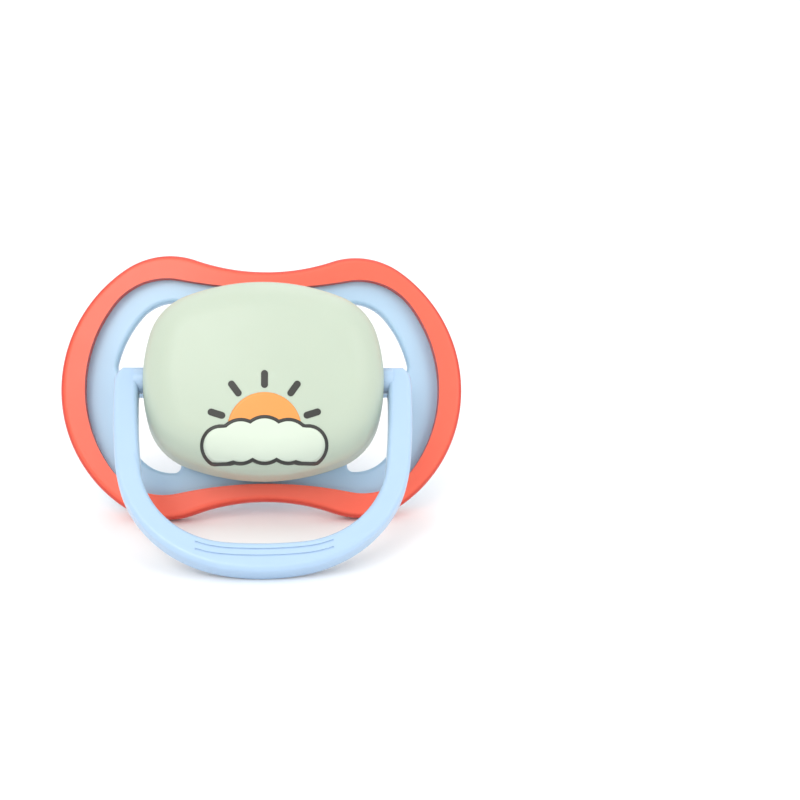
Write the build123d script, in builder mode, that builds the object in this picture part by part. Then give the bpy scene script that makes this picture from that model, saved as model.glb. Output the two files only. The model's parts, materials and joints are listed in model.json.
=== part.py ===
from build123d import *
import math
import os

# A baby pacifier with an airy shield: a thin blue plate with four vents, a soft coral bumper moulded
# round it, a hollow pebble-shaped button on the front, a swinging ring handle and a silicone teat.
#
# Every piece is drawn in the bench frame, millimetres:
#   +X along the shield's long axis, +Y up the shield, +Z out of the shield's front,
#   and z = 0 where the teat's axis meets the side of the shield that faces the mouth.
# At the end each piece is stood in the resting pose, where the pacifier leans back on its teat.

# ---- Resting pose ----
lean = 26.07                # how far the shield leans back from upright, degrees
ring_forward = 24.33        # how far the ring stands forward of the shield at rest, degrees
stand_height = 18.26        # bench origin above the floor
bbox_shift = 0.95           # moves the pieces along Y, so that the origin is under the box's middle

# ---- Outlines: end arc centre, end arc radius, its turn in degrees, corner radius, middle half-height ----
shield_outline = (8.7, 22.3, 55.0, 12.0, 17.9)
plate_front_outline = (5.9, 21.4, 36.3, 10.0, 15.2)
plate_mouth_outline = (7.0, 23.4, 36.0, 9.0, 15.5)
button_outline = (-5.55, 24.0, 16.5, 9.5, 15.2)
ring_outer_outline = (-93.3, 115.4, 7.4, 19.25, 31.85)
ring_inner_outline = (-99.4, 117.95, 7.55, 13.6, 27.5)

# ---- Shield ----
half_width = 31.0
slab_reach = half_width + 1.0
mouth_sag = 3.7             # how far the ends of the mouth side curve towards the baby
plate_thickness = 2.1
bumper_rise = 3.2           # front of the bumper above the bench origin at mid width
bumper_sag = 2.3
bumper_front_round = 1.0
bumper_lip_round = 1.4
flange_thickness = 1.1      # the plate's thin skin that covers the mouth side of the bumper
seat_rise = 2.5             # flat pad on the plate that carries the button
seat_inset = 2.1
cut_depth = 8.0             # through cuts and blanks reach this far each side of z = 0

# ---- Vents ----
vent_bridge = 3.0
vent_top = 13.3
vent_arc_centre = 5.9
vent_outer_radius = 17.0
vent_inner_radius = 17.4
vent_corner = 1.9
vent_sharp_corner = 1.0     # where the inner edge meets the top edge
vent_crown_round = 6.5      # blends the outer edge into the top edge
vent_edge_round = 0.6

# ---- Teat ----
teat_stretch = 1.15         # the teat is wider along X than along Y by this factor
neck_radius = 4.6
bulb_radius = 7.75
bulb_depth = 20.7
teat_depth = 32.0
teat_wall = 1.5
base_ring_radius = 5.3
base_ring_gap = 0.2
base_ring_height = 0.8
anchor_radius = 8.0         # hidden flange that keeps the teat from being pulled out
anchor_thickness = 1.5
neck_play = 0.08
skin_start = ((4.7, -5.0), (5.3, -9.8), (6.55, -14.0))     # the wall's outside, above the bulb
skin_end = (7.1, -26.4)                                    # and below it
lining_start = ((3.2, -5.0), (3.75, -9.9), (5.0, -14.3))   # the wall's inside, likewise
lining_end = (5.5, -25.8)

# ---- Plug that spreads the teat's neck in the shield ----
plug_flange_thickness = 1.3
plug_tip_depth = 2.2
plug_root_radius = 2.9
plug_base_radius = 2.5
plug_tip_radius = 1.5
plug_slot_height = 0.45
plug_slot_depths = (0.5, 1.35)

# ---- Button and the carrier inside it ----
button_top = 15.6
button_draft = 5.0
button_dome_radius = 95.0
button_allowance = 1.0      # extra height that the dome then cuts off
button_edge_round = 6.0
button_root_round = 2.2
button_wall = 1.7
button_lip_inset = 3.7
button_lip_height = 2.3
pivot_height = 7.1
pin_radius = 1.95
button_hole_radius = 2.4
carrier_play = 0.12
carrier_top = 7.0
bearing_inner = 11.3
bearing_width = 3.0
bearing_half_depth = 3.8
bearing_play = 0.06
post_x = 6.0
post_y = 6.8
post_radius = 2.1
post_sink = 0.4             # how far the posts run into the button's roof
stud_radius = 1.05
stud_play = 0.03
stud_height = 3.4

# ---- Ring handle ----
ring_thickness = 3.3
ring_top = 2.4              # the arms are drawn this far above the pins' axis
ring_cap_radius = 2.0       # and then rounded about that axis
ring_corner_round = 3.2
ring_bevel = 0.8
ring_edge_round = 0.5
pin_tip = 11.5              # distance of each pin's tip from the middle plane
pin_root = 0.8              # how far each pin's round reaches into its arm
groove_count = 2            # fine grooves on the front of the grip
groove_start = 1.0          # first groove's distance from the grip's inner edge
groove_pitch = 1.0
groove_width = 0.3
groove_depth = 0.15
groove_reach = 9.5          # the grooves end this far each side of the middle


def rounded_outline(outline, inset=0.0, mode=Mode.ADD):
    """Fills a closed outline of tangent arcs: two ends, four corners and two middles, convex or notched."""
    end_centre, end_radius, turn, corner_radius, middle_half = outline
    turn_angle = math.radians(turn)
    corner_x = end_centre + (end_radius - corner_radius) * math.cos(turn_angle)
    corner_y = (end_radius - corner_radius) * math.sin(turn_angle)
    rise = middle_half - corner_y
    middle_radius = (corner_x**2 + rise**2 - corner_radius**2) / (2 * (rise - corner_radius))
    middle_y = middle_half - middle_radius
    meeting = math.degrees(math.atan2(corner_y - middle_y, corner_x))
    with BuildLine() as lines:
        CenterArc((end_centre, 0), end_radius - inset, 0, turn)
        if middle_radius > 0:
            CenterArc((corner_x, corner_y), corner_radius - inset, turn, meeting - turn)
            CenterArc((0, middle_y), middle_radius - inset, meeting, 90 - meeting)
        else:
            CenterArc((corner_x, corner_y), corner_radius - inset, turn, meeting + 180 - turn)
            CenterArc((0, middle_y), inset - middle_radius, meeting, -90 - meeting)
        mirror(about=Plane.YZ)
        mirror(about=Plane.XZ)
    make_face(lines.edges(), mode=mode)


def arched_slab(front, front_sag, back, back_sag):
    """Fills the section of a slab along X, whose two faces fall by their sags at the shield's ends."""
    stretch = (slab_reach / half_width) ** 2
    front_end = front - front_sag * stretch
    back_end = back - back_sag * stretch
    with BuildLine() as lines:
        top = ThreePointArc((-slab_reach, front_end), (0, front), (slab_reach, front_end))
        base = ThreePointArc((-slab_reach, back_end), (0, back), (slab_reach, back_end))
        Line(top @ 0, base @ 0)
        Line(top @ 1, base @ 1)
    make_face(lines.edges())


# ================= shield blank: bumper and plate in one, a tool for both =================
with BuildPart() as shield_blank:
    with BuildSketch(Plane.XY.offset(-cut_depth)):
        rounded_outline(shield_outline)
    extrude(amount=2 * cut_depth)
    with BuildSketch(Plane.XZ):
        arched_slab(bumper_rise, bumper_sag, 0, mouth_sag)
    extrude(amount=half_width, both=True, mode=Mode.INTERSECT)
    fillet(shield_blank.faces().sort_by(Axis.Z)[-1].edges(), bumper_front_round)
    fillet(shield_blank.faces().sort_by(Axis.Z)[0].edges(), bumper_lip_round)

# ================= plate skin on the mouth side, also a tool for both =================
with BuildPart() as mouth_skin:
    with BuildSketch(Plane.XY.offset(-cut_depth)):
        rounded_outline(plate_mouth_outline)
    extrude(amount=2 * cut_depth)
    with BuildSketch(Plane.XZ):
        arched_slab(flange_thickness, mouth_sag, 0, mouth_sag)
    extrude(amount=half_width, both=True, mode=Mode.INTERSECT)
    add(shield_blank.part, mode=Mode.INTERSECT)

# ================= shield plate =================
with BuildPart() as shield_plate:
    with BuildSketch(Plane.XY.offset(-cut_depth)):
        rounded_outline(plate_front_outline)
    extrude(amount=2 * cut_depth)
    with BuildSketch(Plane.XZ):
        arched_slab(plate_thickness, mouth_sag, 0, mouth_sag)
    extrude(amount=half_width, both=True, mode=Mode.INTERSECT)
    add(mouth_skin.part)
    with BuildSketch(Plane.XY):
        rounded_outline(button_outline, seat_inset)
    extrude(amount=seat_rise)
    with BuildSketch(Plane.XY.offset(-cut_depth)) as vents:
        with Locations((vent_arc_centre, 0)):
            Circle(vent_outer_radius)
        Circle(vent_inner_radius, mode=Mode.SUBTRACT)
        with Locations((half_width / 2, vent_bridge / 2)):
            Rectangle(half_width, vent_top - vent_bridge / 2, align=(Align.CENTER, Align.MIN),
                      mode=Mode.INTERSECT)
        sharp_corner = vents.vertices().group_by(Axis.Y)[-1].sort_by(Axis.X)[0]
        fillet(sharp_corner, vent_sharp_corner)
        fillet(vents.vertices().group_by(Axis.Y)[0], vent_corner)
        fillet(vents.vertices().group_by(Axis.Y)[-1].sort_by(Axis.X)[-1], vent_crown_round)
        mirror(about=Plane.YZ)
        mirror(about=Plane.XZ)
    extrude(amount=2 * cut_depth, mode=Mode.SUBTRACT)
    vent_rims = shield_plate.edges(Select.LAST).filter_by(Axis.Z, reverse=True)
    fillet(vent_rims, vent_edge_round)
    with BuildSketch(Plane.XY.offset(-cut_depth)):
        Ellipse((neck_radius + neck_play) * teat_stretch, neck_radius + neck_play)
    extrude(amount=2 * cut_depth, mode=Mode.SUBTRACT)

# ================= shield rim, the soft bumper moulded round the plate =================
with BuildPart() as shield_rim:
    add(shield_blank.part)
    with BuildSketch(Plane.XY.offset(-cut_depth)):
        rounded_outline(plate_front_outline)
    extrude(amount=2 * cut_depth, mode=Mode.SUBTRACT)
    add(mouth_skin.part, mode=Mode.SUBTRACT)

# ================= teat =================
with BuildPart() as teat:
    with BuildSketch(Plane.XZ):
        with BuildLine():
            skin = Spline(
                (neck_radius, 0), *skin_start, (bulb_radius, -bulb_depth), skin_end, (0, -teat_depth),
                tangents=((0, -1), (-1, 0)),
            )
            Polyline(skin @ 0, (neck_radius, seat_rise), (anchor_radius, seat_rise),
                     (anchor_radius, seat_rise + anchor_thickness),
                     (0, seat_rise + anchor_thickness), skin @ 1)
        make_face()
        with BuildLine():
            lining = Spline(
                (neck_radius - teat_wall, 0), *lining_start,
                (bulb_radius - teat_wall, -bulb_depth), lining_end, (0, teat_wall - teat_depth),
                tangents=((0, -1), (-1, 0)),
            )
            Polyline(lining @ 0, (neck_radius - teat_wall, cut_depth), (0, cut_depth), lining @ 1)
        make_face(mode=Mode.SUBTRACT)
        with Locations((base_ring_radius / 2 + neck_radius / 2, -base_ring_gap)):
            Rectangle(base_ring_radius - neck_radius, base_ring_height, align=(Align.CENTER, Align.MAX))
    revolve(axis=Axis.Z)
    scale(by=(teat_stretch, 1, 1))

# ================= plug inside the teat's neck =================
with BuildPart() as teat_plug:
    with BuildSketch(Plane.XZ):
        with BuildLine():
            Polyline(
                (0, -plug_tip_depth), (plug_tip_radius, -plug_tip_depth), (plug_base_radius, 0),
                (plug_root_radius, 0), (plug_root_radius, seat_rise + anchor_thickness),
                (anchor_radius, seat_rise + anchor_thickness),
                (anchor_radius, seat_rise + anchor_thickness + plug_flange_thickness),
                (0, seat_rise + anchor_thickness + plug_flange_thickness),
                close=True,
            )
        make_face()
    revolve(axis=Axis.Z)
    scale(by=(teat_stretch, 1, 1))
    with BuildSketch(Plane.XZ):
        for slot_depth in plug_slot_depths:
            with Locations((0, -slot_depth)):
                Rectangle(2 * plug_root_radius, plug_slot_height)
    extrude(amount=anchor_radius, mode=Mode.SUBTRACT)

# ================= carrier, the hidden block that holds the ring's pins =================
anchor_stack = anchor_thickness + plug_flange_thickness
cheek_height = carrier_top - seat_rise - button_lip_height - carrier_play
with BuildPart() as handle_carrier:
    with BuildSketch(Plane.XY.offset(seat_rise)):
        rounded_outline(button_outline, button_lip_inset + carrier_play)
    extrude(amount=carrier_top - seat_rise)
    with BuildSketch(Plane.XY.offset(seat_rise)):
        Ellipse((anchor_radius + carrier_play) * teat_stretch, anchor_radius + carrier_play)
    extrude(amount=anchor_stack, mode=Mode.SUBTRACT)
    with BuildSketch(Plane.YZ.offset(bearing_inner)):
        with Locations((0, pivot_height)):
            Circle(bearing_half_depth)
        with Locations((0, carrier_top)):
            Rectangle(2 * bearing_half_depth, cheek_height, align=(Align.CENTER, Align.MAX))
    extrude(amount=bearing_width)
    mirror(about=Plane.YZ)
    with BuildSketch(Plane.YZ):
        with Locations((0, pivot_height)):
            Circle(pin_radius + bearing_play)
    extrude(amount=half_width, both=True, mode=Mode.SUBTRACT)
    with BuildSketch(Plane.XY.offset(carrier_top)):
        with GridLocations(2 * post_x, 2 * post_y, 2, 2):
            Circle(stud_radius)
    extrude(amount=stud_height)


def pebble(inset, base, top, dome_radius, edge_round):
    """Makes the button's outer form, or its hollow: a drafted, domed and rounded block."""
    with BuildPart() as block:
        with BuildSketch(Plane.XY.offset(base)):
            rounded_outline(button_outline, inset)
        extrude(amount=button_top - base + button_allowance, taper=button_draft)
        with Locations((0, 0, top - dome_radius)):
            Sphere(dome_radius, mode=Mode.INTERSECT)
        fillet(block.faces().sort_by(Axis.Z)[-1].edges(), edge_round)
    return block.part


# ================= button cover =================
shell = pebble(0, seat_rise, button_top, button_dome_radius, button_edge_round)
hollow = pebble(button_wall, seat_rise + button_lip_height, button_top - button_wall,
                button_dome_radius - button_wall, button_edge_round - button_wall)
with BuildPart() as button_cover:
    add(shell)
    fillet(button_cover.faces().sort_by(Axis.Z)[0].edges(), button_root_round)
    add(hollow, mode=Mode.SUBTRACT)
    with BuildSketch(Plane.XY.offset(seat_rise)):
        rounded_outline(button_outline, button_lip_inset)
    extrude(amount=button_lip_height, mode=Mode.SUBTRACT)
    post_root = button_top - button_wall + post_sink
    with BuildSketch(Plane.XY.offset(post_root)):
        with GridLocations(2 * post_x, 2 * post_y, 2, 2):
            Circle(post_radius)
    extrude(amount=carrier_top + carrier_play - post_root)
    with BuildSketch(Plane.XY.offset(carrier_top)):
        with GridLocations(2 * post_x, 2 * post_y, 2, 2):
            Circle(stud_radius + stud_play)
    extrude(amount=stud_height + carrier_play, mode=Mode.SUBTRACT)
    with BuildSketch(Plane.YZ):
        with Locations((0, pivot_height)):
            Circle(button_hole_radius)
    extrude(amount=half_width, both=True, mode=Mode.SUBTRACT)

# ================= ring handle =================
ring_base = pivot_height - ring_thickness / 2
inner_half_width = ring_inner_outline[0] + ring_inner_outline[1]
with BuildPart() as ring_handle:
    with BuildSketch(Plane.XY.offset(ring_base)) as ring_shape:
        rounded_outline(ring_outer_outline)
        rounded_outline(ring_inner_outline, mode=Mode.SUBTRACT)
        with Locations((0, ring_top)):
            Rectangle(2 * half_width, 2 * half_width, align=(Align.CENTER, Align.MAX), mode=Mode.INTERSECT)
        arm_tops = ring_shape.vertices().group_by(Axis.Y)[-1].sort_by(Axis.X)
        fillet([arm_tops[0], arm_tops[-1]], ring_corner_round)
    extrude(amount=ring_thickness)
    fillet(ring_handle.faces().sort_by(Axis.Z)[0].edges(), ring_edge_round)
    fillet(ring_handle.faces().sort_by(Axis.Z)[-1].edges(), ring_bevel)
    with BuildSketch(Plane.YZ):
        with Locations((0, pivot_height)):
            Rectangle(half_width, half_width, align=(Align.MIN, Align.CENTER))
            Circle(ring_cap_radius, mode=Mode.SUBTRACT)
    extrude(amount=half_width, both=True, mode=Mode.SUBTRACT)
    for index in range(groove_count):
        outer_edge = groove_start + index * groove_pitch + groove_width
        with BuildSketch(Plane.XY.offset(ring_base + ring_thickness)):
            rounded_outline(ring_inner_outline, -outer_edge)
            rounded_outline(ring_inner_outline, groove_width - outer_edge, mode=Mode.SUBTRACT)
            Rectangle(2 * groove_reach, 2 * half_width, align=(Align.CENTER, Align.MAX), mode=Mode.INTERSECT)
        extrude(amount=-groove_depth, mode=Mode.SUBTRACT)
    for side in (1, -1):
        with BuildSketch(Plane.YZ.offset(side * pin_tip)):
            with Locations((0, pivot_height)):
                Circle(pin_radius)
        extrude(amount=side * (inner_half_width + pin_root - pin_tip))

# ================= stand the pieces in the resting pose and write them =================
stance = Location((0, bbox_shift, stand_height), (90 - lean, 0, 0))
swing = Location((0, 0, pivot_height), (-ring_forward, 0, 0)) * Location((0, 0, -pivot_height))

os.makedirs("parts", exist_ok=True)

shield_plate.part.locate(stance)
shield_plate.part.label = "shield_plate"
export_step(shield_plate.part, "parts/shield_plate.step")

shield_rim.part.locate(stance)
shield_rim.part.label = "shield_rim"
export_step(shield_rim.part, "parts/shield_rim.step")

teat.part.locate(stance)
teat.part.label = "teat"
export_step(teat.part, "parts/teat.step")

teat_plug.part.locate(stance)
teat_plug.part.label = "teat_plug"
export_step(teat_plug.part, "parts/teat_plug.step")

handle_carrier.part.locate(stance)
handle_carrier.part.label = "handle_carrier"
export_step(handle_carrier.part, "parts/handle_carrier.step")

button_cover.part.locate(stance)
button_cover.part.label = "button_cover"
export_step(button_cover.part, "parts/button_cover.step")

ring_handle.part.locate(stance * swing)
ring_handle.part.label = "ring_handle"
export_step(ring_handle.part, "parts/ring_handle.step")
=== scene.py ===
import json
import math

import bmesh
import bpy
from mathutils import Matrix, Vector
from mathutils.bvhtree import BVHTree


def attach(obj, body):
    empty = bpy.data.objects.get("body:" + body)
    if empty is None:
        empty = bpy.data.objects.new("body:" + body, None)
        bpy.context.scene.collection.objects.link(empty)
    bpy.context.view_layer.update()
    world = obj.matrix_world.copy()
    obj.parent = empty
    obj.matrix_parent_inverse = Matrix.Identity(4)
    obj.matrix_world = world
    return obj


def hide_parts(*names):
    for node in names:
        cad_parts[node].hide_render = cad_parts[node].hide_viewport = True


# A baby pacifier that leans back on its teat, with its ring forward on the floor.
# The CAD nodes keep their shapes and get moulded plastic materials. The teat is rebuilt with the fine
# ribs of its clear neck, and the button gets a printed motif.

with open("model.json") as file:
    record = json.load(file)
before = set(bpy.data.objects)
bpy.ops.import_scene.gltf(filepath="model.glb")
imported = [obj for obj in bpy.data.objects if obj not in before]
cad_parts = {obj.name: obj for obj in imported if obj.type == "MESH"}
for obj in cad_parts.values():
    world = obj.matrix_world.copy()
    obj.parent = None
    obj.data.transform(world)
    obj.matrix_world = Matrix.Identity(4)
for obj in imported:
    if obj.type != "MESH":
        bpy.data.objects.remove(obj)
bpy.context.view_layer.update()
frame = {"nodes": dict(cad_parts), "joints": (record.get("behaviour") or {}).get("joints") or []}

MM = 0.001

# ---- The bench frame: +X along the shield, +Y up it, +Z out of its front, from the teat's root ----
LEAN = 26.07                # how far the shield leans back from upright, degrees
PIVOT_HEIGHT = 7.1          # the ring's pivot above the bench origin, mm
turn = Matrix.Rotation(math.radians(90 - LEAN), 4, "X")
pivot = Vector(frame["joints"][0]["pos_m"])
BENCH = Matrix.Translation(pivot - turn @ Vector((0, 0, PIVOT_HEIGHT * MM))) @ turn

# ---- Camera ----
CAMERA_DISTANCE = 0.2012
CAMERA_ELEVATION = 17.8
CAMERA_LENS = 58.0
AIM_RIGHT = 6.0             # degrees that the camera turns past the object, which puts it left of the middle
AIM_DOWN = 0.46

# ---- Studio dome: brighter overhead than at the horizon ----
HORIZON_LIGHT = 0.5
ZENITH_LIGHT = 1.3
ZENITH_START = 0.8          # the dome is at its brightest above this height, 1 being straight up
DOME_TINT = (0.985, 0.993, 1.0, 1.0)
LIGHT_TARGET = (0, 0, 0.015)

# ---- Floor, metres ----
FLOOR_RADIUS = 3.2          # it is flat this far out
FLOOR_BEND = 0.6            # radius of the bend up into the wall
WALL_TOP = 0.75
FLAT_SHARES = (0.02, 0.1, 0.3, 1.0)
BEND_STEPS = 16
FLOOR_AROUND = 96

# ---- Surfaces: noise scales are per metre ----
MELT_SCALE = 90
WEAR_SCALE = 260
GRAIN_SCALE = 2600
HAZE_SCALE = 140
TEAT_GRAIN_SCALE = 3200
NOISE_LOW = 0.3             # noise values mostly lie between these two
NOISE_HIGH = 0.7
GLOSS_BELOW = 0.02          # how far roughness varies below and above its value
GLOSS_ABOVE = 0.03
GRAIN_STRENGTH = 0.35
SCATTER_DEPTH = 1.2         # mm
COAT_ROUGHNESS = 0.12
SIDE_SHADE_FULL = 0.75            # a surface turned this far from the shield's front has the walls' deeper hue and painted shade in full
SIDE_SHADE_NONE = 0.97            # and above this one none of it (both are cosines)
SILICONE_COLOUR = (0.95, 0.955, 0.96, 1.0)
SILICONE_IOR = 1.41
CLEAR_ROUGHNESS = 0.03
FROST_ROUGHNESS = 0.42
HAZE_ROUGHNESS = 0.05       # the most that haze adds
CLEAR_TRANSMISSION = 1.0
FROST_TRANSMISSION = 0.45
TEAT_GRAIN_STRENGTH = 0.2
TEAT_GRAIN = 0.004          # mm

# ---- Teat, mm ----
BULB_DEPTH = 20.7           # depth of the bulb's widest place
CAST_REACH = 40.0           # rays start this far out
NECK_START = 0.6            # the skin starts this far inside the shield
NECK_ROWS = 110
BULB_ROWS = 60
AROUND = 288
RIB_COUNT = 18
RIB_DEPTH = 0.16
RIB_END = 10.0
RIB_FADE_IN = 1.5
RIB_FADE_OUT = 3.0
RIB_FREE_SHARE = 0.6        # the share of the window's half angle that is free of ribs
RIB_BLEND_ANGLE = 12
CLEAR_END = 10.0            # the clear neck turns frosted at this depth
WINDOW_END = 13.0           # and at this one in the middle of the two broad sides
WINDOW_HALF_ANGLE = 34.0
FROST_BLEND = 0.35

# ---- Print on the button, mm in the bench frame ----
PRINT_CENTRE_Y = -10.2      # the cloud's middle
SUN_RISE = 2.0              # the sun's middle above the cloud's
SUN_BASE = 1.2              # the half sun is cut flat this far below its middle, behind the cloud
INK_LIFT = 0.03
INK_STEP = 0.02
INK_ROOT = -0.03
INK_RINGS = 14
INK_AROUND = 160
SUN_RADIUS = 5.3
RAY_COUNT = 5
RAY_INNER = 6.4
RAY_OUTER = 8.0
RAY_HALF_WIDTH = 0.5
CLOUD_LOBES = ((0.0, 0.5, 3.0), (-6.2, -0.3, 2.5), (6.2, -0.3, 2.5), (-3.4, 0.3, 2.8), (3.4, 0.3, 2.8))
CLOUD_FLOOR = -2.5
CLOUD_LINE = 0.5
TINY = 1e-6


def linear(red, green, blue):
    """Turns an 8-bit display colour into the linear one that shaders take."""
    def channel(value):
        value /= 255
        return value / 12.92 if value <= 0.04045 else ((value + 0.055) / 1.055) ** 2.4
    return (channel(red), channel(green), channel(blue), 1.0)


def new_material(name):
    material = bpy.data.materials.new(name)
    material.use_nodes = True
    return material, material.node_tree, material.node_tree.nodes["Principled BSDF"]


def noise(tree, coordinates, scale, detail):
    node = tree.nodes.new("ShaderNodeTexNoise")
    node.inputs["Scale"].default_value = scale
    node.inputs["Detail"].default_value = detail
    tree.links.new(coordinates.outputs["Object"], node.inputs["Vector"])
    return node


def span(tree, source, low, high):
    """Maps a noise value to a range."""
    node = tree.nodes.new("ShaderNodeMapRange")
    node.inputs["From Min"].default_value = NOISE_LOW
    node.inputs["From Max"].default_value = NOISE_HIGH
    node.inputs["To Min"].default_value = low
    node.inputs["To Max"].default_value = high
    tree.links.new(source, node.inputs["Value"])
    return node.outputs["Result"]


def deepen_and_shade_sides(tree, coordinates, tinted, side_hue_and_shade):
    """Changes a colour to a deeper, more saturated colour with painted shade where the surface turns away
    from the shield's front and back.
    """
    facing = tree.nodes.new("ShaderNodeVectorMath")
    facing.operation = "DOT_PRODUCT"
    facing.inputs[1].default_value = BENCH.col[2].to_3d()
    tree.links.new(coordinates.outputs["Normal"], facing.inputs[0])
    upright = tree.nodes.new("ShaderNodeMath")
    upright.operation = "ABSOLUTE"
    tree.links.new(facing.outputs["Value"], upright.inputs[0])
    wall = tree.nodes.new("ShaderNodeMapRange")
    wall.inputs["From Min"].default_value = SIDE_SHADE_FULL
    wall.inputs["From Max"].default_value = SIDE_SHADE_NONE
    tree.links.new(upright.outputs["Value"], wall.inputs["Value"])
    deep_and_shaded = tree.nodes.new("ShaderNodeMix")
    deep_and_shaded.data_type = "RGBA"
    deep_and_shaded.inputs["A"].default_value = side_hue_and_shade
    tree.links.new(wall.outputs["Result"], deep_and_shaded.inputs["Factor"])
    tree.links.new(tinted, deep_and_shaded.inputs["B"])
    return deep_and_shaded.outputs["Result"]


def moulded(name, colour, roughness, tone=0.03, grain=0.004, soft=0.0, coat=0.0, side_hue_and_shade=None):
    """Moulded plastic: faint tone variation from the melt, uneven gloss and a fine moulded grain.

    The last argument is a deeper, more saturated colour with painted shade for the walls that stand upright
    on the shield.
    """
    material, tree, shader = new_material(name)
    coordinates = tree.nodes.new("ShaderNodeTexCoord")
    melt = noise(tree, coordinates, MELT_SCALE, 3)
    wear = noise(tree, coordinates, WEAR_SCALE, 5)
    skin = noise(tree, coordinates, GRAIN_SCALE, 3)

    mix = tree.nodes.new("ShaderNodeMix")
    mix.data_type = "RGBA"
    mix.inputs["A"].default_value = tuple(c * (1 - tone) for c in colour[:3]) + (1.0,)
    mix.inputs["B"].default_value = tuple(min(1.0, c * (1 + tone)) for c in colour[:3]) + (1.0,)
    tree.links.new(span(tree, melt.outputs["Fac"], 0.0, 1.0), mix.inputs["Factor"])
    tinted = mix.outputs["Result"]
    if side_hue_and_shade:
        tinted = deepen_and_shade_sides(tree, coordinates, tinted, side_hue_and_shade)
    tree.links.new(tinted, shader.inputs["Base Color"])

    gloss = span(tree, wear.outputs["Fac"], roughness - GLOSS_BELOW, roughness + GLOSS_ABOVE)
    tree.links.new(gloss, shader.inputs["Roughness"])

    bump = tree.nodes.new("ShaderNodeBump")
    bump.inputs["Strength"].default_value = GRAIN_STRENGTH
    bump.inputs["Distance"].default_value = grain * MM
    tree.links.new(skin.outputs["Fac"], bump.inputs["Height"])
    tree.links.new(bump.outputs["Normal"], shader.inputs["Normal"])

    shader.inputs["Subsurface Weight"].default_value = soft
    shader.inputs["Subsurface Radius"].default_value = (1.0, 0.8, 0.7)
    shader.inputs["Subsurface Scale"].default_value = SCATTER_DEPTH * MM
    shader.inputs["Coat Weight"].default_value = coat
    shader.inputs["Coat Roughness"].default_value = COAT_ROUGHNESS
    return material


def silicone(name):
    """Teat silicone: clear and glossy at the neck, frosted above it, by the mesh's frost attribute."""
    material, tree, shader = new_material(name)
    coordinates = tree.nodes.new("ShaderNodeTexCoord")
    frost = tree.nodes.new("ShaderNodeAttribute")
    frost.attribute_name = "frost"
    skin = noise(tree, coordinates, TEAT_GRAIN_SCALE, 2)
    cloudy = noise(tree, coordinates, HAZE_SCALE, 3)

    def by_frost(clear, frosted):
        node = tree.nodes.new("ShaderNodeMapRange")
        node.inputs["To Min"].default_value = clear
        node.inputs["To Max"].default_value = frosted
        tree.links.new(frost.outputs["Fac"], node.inputs["Value"])
        return node.outputs["Result"]

    haze = tree.nodes.new("ShaderNodeMath")
    haze.operation = "MULTIPLY_ADD"
    haze.inputs[1].default_value = HAZE_ROUGHNESS
    tree.links.new(cloudy.outputs["Fac"], haze.inputs[0])
    tree.links.new(by_frost(CLEAR_ROUGHNESS, FROST_ROUGHNESS), haze.inputs[2])
    tree.links.new(haze.outputs["Value"], shader.inputs["Roughness"])
    tree.links.new(by_frost(CLEAR_TRANSMISSION, FROST_TRANSMISSION), shader.inputs["Transmission Weight"])

    bump = tree.nodes.new("ShaderNodeBump")
    bump.inputs["Strength"].default_value = TEAT_GRAIN_STRENGTH
    bump.inputs["Distance"].default_value = TEAT_GRAIN * MM
    tree.links.new(skin.outputs["Fac"], bump.inputs["Height"])
    tree.links.new(bump.outputs["Normal"], shader.inputs["Normal"])
    shader.inputs["Base Color"].default_value = SILICONE_COLOUR
    shader.inputs["IOR"].default_value = SILICONE_IOR
    return material


def finish_piece(name, bm, materials):
    """Makes the object of a bmesh, in place and smooth, riding on the pacifier's body."""
    bmesh.ops.recalc_face_normals(bm, faces=bm.faces)
    mesh = bpy.data.meshes.new(name)
    bm.to_mesh(mesh)
    bm.free()
    for material in materials:
        mesh.materials.append(material)
    for polygon in mesh.polygons:
        polygon.use_smooth = True
    piece = bpy.data.objects.new(name, mesh)
    bpy.context.scene.collection.objects.link(piece)
    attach(piece, "pacifier_body")
    return piece


def node_tree_of(node):
    """A ray-casting tree of a CAD node."""
    mesh = frame["nodes"][node].data
    return BVHTree.FromPolygons([v.co for v in mesh.vertices], [p.vertices for p in mesh.polygons])


def cast(tree, start, direction):
    """Casts a ray given in the bench frame, in mm, and returns the place it hits in the same frame."""
    origin = BENCH @ (Vector(start) * MM)
    place, normal, _, _ = tree.ray_cast(origin, (BENCH.to_3x3() @ Vector(direction)).normalized())
    if place is None:
        raise ValueError(f"no surface from {start} along {direction}")
    back = BENCH.inverted()
    return (back @ place) / MM, back.to_3x3() @ normal


def frost_at(depth, angle):
    """1 where the teat is frosted, 0 where it is clear. The clear part has a round-topped window."""
    off_side = abs(math.degrees(math.asin(math.sin(angle))))
    share = min(1.0, off_side / WINDOW_HALF_ANGLE)
    edge = CLEAR_END + (WINDOW_END - CLEAR_END) * math.sqrt(1 - share * share)
    return min(1.0, max(0.0, 0.5 + (depth - edge) / (2 * FROST_BLEND)))


def rib_at(depth, angle):
    """How far the fine ribs of the clear neck cut in. They fade out at both ends and beside the windows."""
    if not 0 < depth < RIB_END:
        return 0.0
    off_side = abs(math.degrees(math.asin(math.sin(angle))))
    beside = min(1.0, max(0.0, (off_side - WINDOW_HALF_ANGLE * RIB_FREE_SHARE) / RIB_BLEND_ANGLE))
    fade = min(1.0, depth / RIB_FADE_IN, (RIB_END - depth) / RIB_FADE_OUT)
    return RIB_DEPTH * fade * beside * (0.5 - 0.5 * math.cos(RIB_COUNT * angle))


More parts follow.
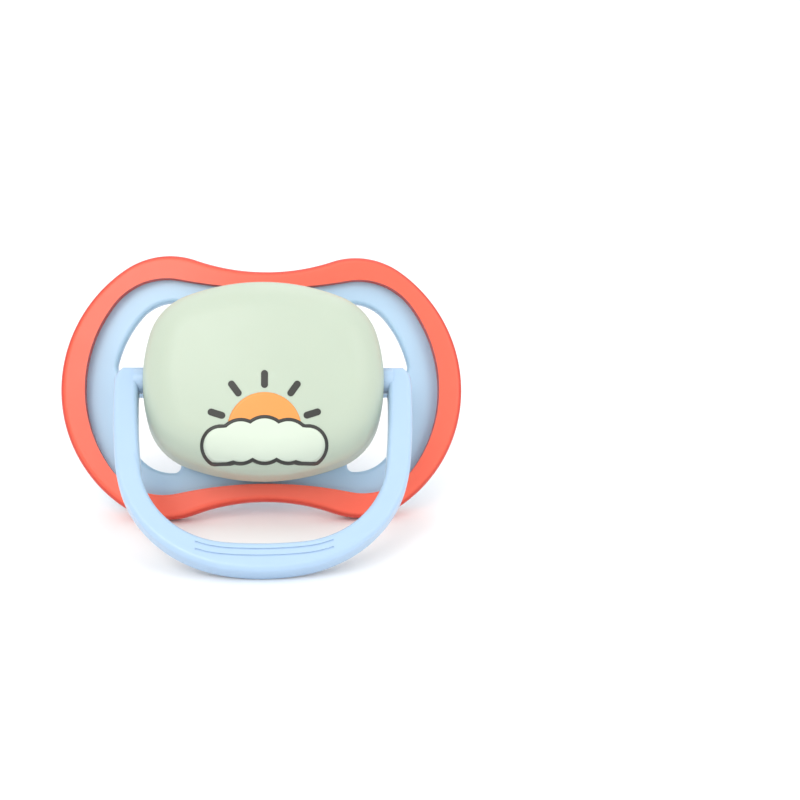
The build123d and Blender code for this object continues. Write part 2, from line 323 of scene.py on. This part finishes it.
def teat_rows(tree, outside):
    """Rows of (place, depth, angle) down one side of the teat's wall, taken from the CAD surface."""
    rows = []
    for row in range(NECK_ROWS + 1):
        depth = -NECK_START + (BULB_DEPTH + NECK_START) * row / NECK_ROWS
        ring = []
        for step in range(AROUND):
            angle = 2 * math.pi * step / AROUND
            out = Vector((math.cos(angle), math.sin(angle), 0))
            axis = Vector((0, 0, -depth))
            start, way = (axis + out * CAST_REACH, -out) if outside else (axis, out)
            place, _ = cast(tree, start, way)
            if outside:
                place = place - out * rib_at(depth, angle)
            ring.append((place, depth, angle))
        rows.append(ring)
    for row in range(1, BULB_ROWS):
        polar = math.pi / 2 * row / BULB_ROWS
        ring = []
        for step in range(AROUND):
            angle = 2 * math.pi * step / AROUND
            out = Vector((math.cos(angle) * math.cos(polar), math.sin(angle) * math.cos(polar),
                          -math.sin(polar)))
            centre = Vector((0, 0, -BULB_DEPTH))
            start, way = (centre + out * CAST_REACH, -out) if outside else (centre, out)
            place, _ = cast(tree, start, way)
            ring.append((place, -place.z, angle))
        rows.append(ring)
    return rows


def make_teat():
    """The teat's wall as one closed shell, inside and outside joined at its root."""
    tree = node_tree_of("teat")
    bm = bmesh.new()
    frost = bm.verts.layers.float.new("frost")
    roots = []
    for outside in (True, False):
        grid = []
        for ring in teat_rows(tree, outside):
            verts = []
            for place, depth, angle in ring:
                vert = bm.verts.new(BENCH @ (place * MM))
                vert[frost] = frost_at(depth, angle)
                verts.append(vert)
            grid.append(verts)
        start = Vector((0, 0, -BULB_DEPTH))
        far = start - Vector((0, 0, CAST_REACH))
        tip_place, _ = cast(tree, far, (0, 0, 1)) if outside else cast(tree, start, (0, 0, -1))
        tip = bm.verts.new(BENCH @ (tip_place * MM))
        tip[frost] = 1.0
        for upper, lower in zip(grid, grid[1:]):
            for i in range(AROUND):
                j = (i + 1) % AROUND
                bm.faces.new((upper[i], upper[j], lower[j], lower[i]))
        for i in range(AROUND):
            bm.faces.new((grid[-1][i], grid[-1][(i + 1) % AROUND], tip))
        roots.append(grid[0])
    for i in range(AROUND):
        j = (i + 1) % AROUND
        bm.faces.new((roots[0][i], roots[0][j], roots[1][j], roots[1][i]))
    piece = finish_piece("teat_skin", bm, [silicone("frosted_silicone")])
    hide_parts("teat")


def ink_film(name, tree, centre, reach, layer, material):
    """A thin closed film of ink on the button. reach(angle) is the outline's distance from its centre."""
    top = INK_LIFT + layer * INK_STEP
    bm = bmesh.new()
    sheets = []
    for lift in (top, INK_ROOT):
        def put(x, y):
            place, normal = cast(tree, (x, y, CAST_REACH), (0, 0, -1))
            return bm.verts.new(BENCH @ ((place + normal * lift) * MM))
        middle = put(*centre)
        rings = []
        for ring in range(1, INK_RINGS + 1):
            share = ring / INK_RINGS
            row = []
            for step in range(INK_AROUND):
                angle = 2 * math.pi * step / INK_AROUND
                away = reach(angle) * share
                row.append(put(centre[0] + away * math.cos(angle), centre[1] + away * math.sin(angle)))
            rings.append(row)
        for i in range(INK_AROUND):
            j = (i + 1) % INK_AROUND
            bm.faces.new((middle, rings[0][i], rings[0][j]))
            for inner, outer in zip(rings, rings[1:]):
                bm.faces.new((inner[i], outer[i], outer[j], inner[j]))
        sheets.append(rings[-1])
    for i in range(INK_AROUND):
        j = (i + 1) % INK_AROUND
        bm.faces.new((sheets[0][i], sheets[0][j], sheets[1][j], sheets[1][i]))
    return finish_piece(name, bm, [material])


def exit_distance(angle, x, y, radius):
    """How far from the origin a ray leaves a circle, or 0 if it misses it."""
    along = x * math.cos(angle) + y * math.sin(angle)
    inside = radius * radius - (x * x + y * y - along * along)
    return along + math.sqrt(inside) if inside > 0 else 0.0


def cloud_reach(line):
    """The outline of a cloud with a flat base, grown by the width of its line."""
    def reach(angle):
        away = max(exit_distance(angle, x, y, radius + line) for x, y, radius in CLOUD_LOBES)
        down = -math.sin(angle)
        return min(away, (line - CLOUD_FLOOR) / down) if down > TINY else away
    return reach


def half_sun_reach(angle):
    """The outline of a disc with its lower part cut off flat."""
    down = -math.sin(angle)
    return min(SUN_RADIUS, SUN_BASE / down) if down > TINY else SUN_RADIUS


def capsule_reach(direction, half_length, half_width):
    """The outline of a short round-ended stroke along a direction."""
    def reach(angle):
        off = angle - direction
        along, across = abs(math.cos(off)), abs(math.sin(off))
        straight = half_width / across if across > TINY else math.inf
        if straight * along <= half_length:
            return straight
        return exit_distance(math.atan2(across, along), half_length, 0, half_width)
    return reach


def make_print():
    """A generic motif: a half sun behind a cloud."""
    tree = node_tree_of("button_cover")
    orange = moulded("ink_orange", linear(228, 150, 76), 0.42, tone=0.02, grain=0.002)
    dark = moulded("ink_dark", linear(50, 50, 46), 0.42, tone=0.05, grain=0.002)
    cream = moulded("ink_cream", linear(206, 217, 200), 0.42, tone=0.01, grain=0.002)
    sun = (0.0, PRINT_CENTRE_Y + SUN_RISE)
    cloud = (0.0, PRINT_CENTRE_Y)
    ink_film("print_sun", tree, sun, half_sun_reach, 0, orange)
    middle = (RAY_INNER + RAY_OUTER) / 2
    half_length = (RAY_OUTER - RAY_INNER) / 2
    for ray in range(RAY_COUNT):
        direction = math.pi * (ray + 0.5) / RAY_COUNT
        centre = (sun[0] + middle * math.cos(direction), sun[1] + middle * math.sin(direction))
        ink_film(f"print_ray_{ray + 1}", tree, centre,
                 capsule_reach(direction, half_length, RAY_HALF_WIDTH), 0, dark)
    ink_film("print_cloud_line", tree, cloud, cloud_reach(CLOUD_LINE), 1, dark)
    ink_film("print_cloud", tree, cloud, cloud_reach(0.0), 2, cream)


def give(node, material):
    """Puts a material in every slot of a CAD node."""
    for slot in frame["nodes"][node].material_slots:
        slot.material = material


def make_floor():
    """A pale round floor that bends up into a low wall, far out on every side."""
    profile = [(FLOOR_RADIUS * share, 0.0) for share in FLAT_SHARES]
    for step in range(1, BEND_STEPS + 1):
        angle = math.pi / 2 * step / BEND_STEPS
        profile.append((FLOOR_RADIUS + FLOOR_BEND * math.sin(angle), FLOOR_BEND * (1 - math.cos(angle))))
    profile.append((FLOOR_RADIUS + FLOOR_BEND, WALL_TOP))
    bm = bmesh.new()
    middle = bm.verts.new((0, 0, 0))
    turns = [2 * math.pi * step / FLOOR_AROUND for step in range(FLOOR_AROUND)]
    rings = [[bm.verts.new((r * math.cos(t), r * math.sin(t), z)) for t in turns] for r, z in profile]
    for i in range(FLOOR_AROUND):
        j = (i + 1) % FLOOR_AROUND
        bm.faces.new((middle, rings[0][i], rings[0][j]))
        for inner, outer in zip(rings, rings[1:]):
            bm.faces.new((inner[i], outer[i], outer[j], inner[j]))
    mesh = bpy.data.meshes.new("floor")
    bm.to_mesh(mesh)
    bm.free()
    for polygon in mesh.polygons:
        polygon.use_smooth = True
    mesh.materials.append(moulded("floor_paint", (0.95, 0.95, 0.95, 1.0), 0.6, tone=0.004, grain=0.002))
    floor = bpy.data.objects.new("floor", mesh)
    bpy.context.scene.collection.objects.link(floor)


def add_light(name, place, size, power, colour):
    data = bpy.data.lights.new(name, "AREA")
    data.shape = "DISK"
    data.size = size
    data.energy = power
    data.color = colour
    light = bpy.data.objects.new(name, data)
    light.location = place
    light.rotation_euler = (Vector(LIGHT_TARGET) - Vector(place)).to_track_quat("-Z", "Y").to_euler()
    bpy.context.scene.collection.objects.link(light)


def make_lights():
    world = bpy.data.worlds.new("studio")
    world.use_nodes = True
    tree = world.node_tree
    background = tree.nodes["Background"]
    place = tree.nodes.new("ShaderNodeTexCoord")
    parts = tree.nodes.new("ShaderNodeSeparateXYZ")
    fall = tree.nodes.new("ShaderNodeMapRange")
    fall.inputs["From Min"].default_value = 0.0
    fall.inputs["From Max"].default_value = ZENITH_START
    fall.inputs["To Min"].default_value = HORIZON_LIGHT
    fall.inputs["To Max"].default_value = ZENITH_LIGHT
    tree.links.new(place.outputs["Generated"], parts.inputs["Vector"])
    tree.links.new(parts.outputs["Z"], fall.inputs["Value"])
    tree.links.new(fall.outputs["Result"], background.inputs["Strength"])
    background.inputs["Color"].default_value = DOME_TINT
    bpy.context.scene.world = world
    add_light("key", (-0.22, -0.44, 0.50), 0.42, 1.5, (1.0, 0.99, 0.97))
    add_light("fill", (0.45, -0.30, 0.35), 0.40, 0.5, (0.97, 0.99, 1.0))
    add_light("back", (0.10, 0.50, 0.45), 0.40, 0.25, (1.0, 1.0, 1.0))
    bpy.context.scene.view_settings.view_transform = "Standard"


def make_camera():
    """Stands at the object's front, then turns right and down, so the object is left of the middle."""
    target = BENCH.translation.copy()
    target.y = 0.0
    rise = math.radians(CAMERA_ELEVATION)
    back = Vector((0, -math.cos(rise), math.sin(rise)))
    data = bpy.data.cameras.new("camera")
    data.lens = CAMERA_LENS
    camera = bpy.data.objects.new("camera", data)
    facing = (-back).to_track_quat("-Z", "Y").to_matrix().to_4x4()
    aim = Matrix.Rotation(math.radians(-AIM_RIGHT), 4, "Y") @ Matrix.Rotation(math.radians(-AIM_DOWN), 4, "X")
    camera.matrix_world = Matrix.Translation(target + back * CAMERA_DISTANCE) @ facing @ aim
    bpy.context.scene.collection.objects.link(camera)
    bpy.context.scene.camera = camera


make_camera()
make_lights()
make_floor()
give("shield_plate", moulded("plate_plastic", linear(176, 205, 228), 0.34, tone=0.015, soft=0.15))
# The bumper's walls get a deeper, more saturated colour plus painted shade.
give("shield_rim", moulded("bumper_plastic", linear(243, 100, 75), 0.34, tone=0.02, soft=0.2,
                           side_hue_and_shade=linear(206, 58, 38)))
give("ring_handle", moulded("ring_plastic", linear(168, 195, 222), 0.35, tone=0.012, soft=0.12, coat=0.2))
give("button_cover", moulded("button_plastic", linear(185, 197, 179), 0.40, tone=0.012, soft=0.25))
give("handle_carrier", moulded("carrier_plastic", linear(222, 228, 224), 0.4))
give("teat_plug", moulded("plug_plastic", linear(205, 216, 226), 0.36, coat=0.3))
make_teat()
make_print()
